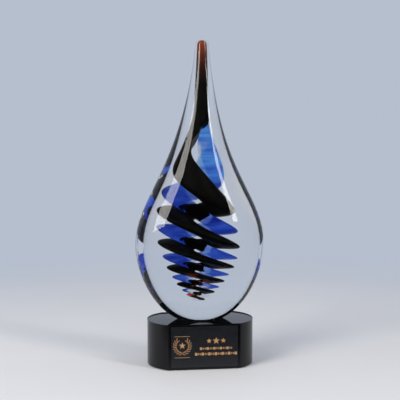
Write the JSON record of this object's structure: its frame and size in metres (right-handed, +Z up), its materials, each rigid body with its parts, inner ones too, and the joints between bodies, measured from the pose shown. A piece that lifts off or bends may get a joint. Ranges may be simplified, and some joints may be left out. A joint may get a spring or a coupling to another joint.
{
  "type": "crystal award",
  "caption": "Upright clear glass teardrop award with a twisted black and blue glass core, on a black glass block base with an engraved plate.",
  "frame": {"origin": "centre of the felt's underside, under the drop's axis", "axes": "+Z up along the drop's axis, -Y out of the engraved front, +X to the viewer's right"},
  "size_m": [0.1198, 0.0616, 0.3],
  "materials": {
    "crystal_drop": "clear polished crystal",
    "black_ribbon": "opaque black glass",
    "blue_ribbon": "transparent cobalt glass",
    "amber_stem": "red-brown amber glass",
    "glue_film": "clear cured adhesive",
    "base_block": "polished black glass",
    "engraved_plate": "black satin coat, gold engraving",
    "plate_tape": "double-sided acrylic tape",
    "felt_pad": "black felt"
  },
  "bodies": {
    "root": {"crystal_drop": "crystal_drop", "black_ribbon": "black_ribbon", "blue_ribbon": "blue_ribbon", "amber_stem": "amber_stem", "glue_film": "glue_film", "base_block": "base_block", "engraved_plate": "engraved_plate", "plate_tape": "plate_tape", "felt_pad": "felt_pad"}
  },
  "joints": []
}
